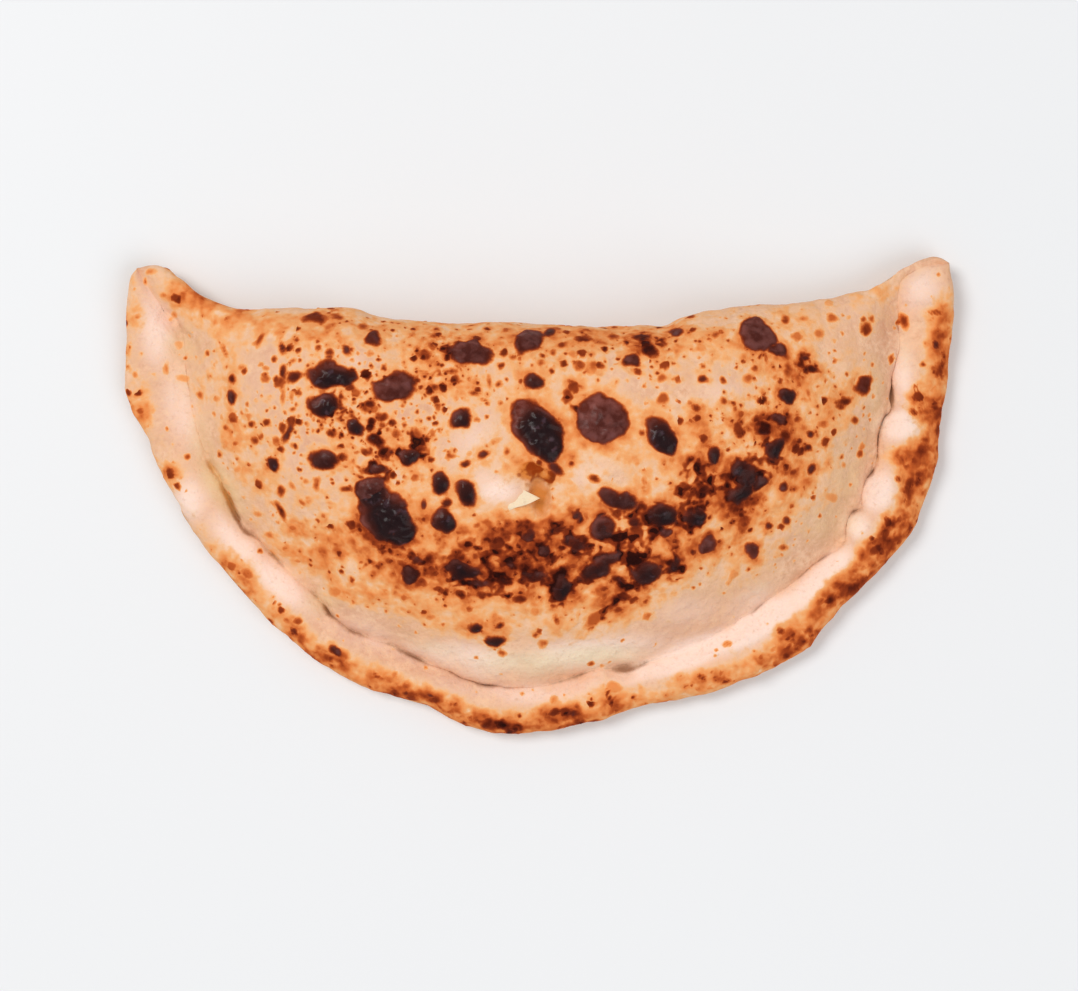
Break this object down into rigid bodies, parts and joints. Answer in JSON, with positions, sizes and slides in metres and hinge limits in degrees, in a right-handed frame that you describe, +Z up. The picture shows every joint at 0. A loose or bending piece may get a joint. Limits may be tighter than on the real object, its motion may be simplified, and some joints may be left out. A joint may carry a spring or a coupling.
{
  "type": "calzone",
  "caption": "Baked folded pizza in a half moon, puffed over its filling and sealed along a rolled, pressed rim; serves as a main dish.",
  "frame": {"origin": "on the surface that the calzone rests on, under the middle of its bounding box", "axes": "+X along the fold from the left horn to the right horn, +Y from the sealed rim towards the folded edge, +Z up"},
  "size_m": [0.29, 0.167, 0.044],
  "materials": {
    "baked_dough": "matte baked crust, a little glossy where it is scorched or oiled"
  },
  "bodies": {
    "root": {"calzone": "baked_dough"}
  },
  "joints": []
}
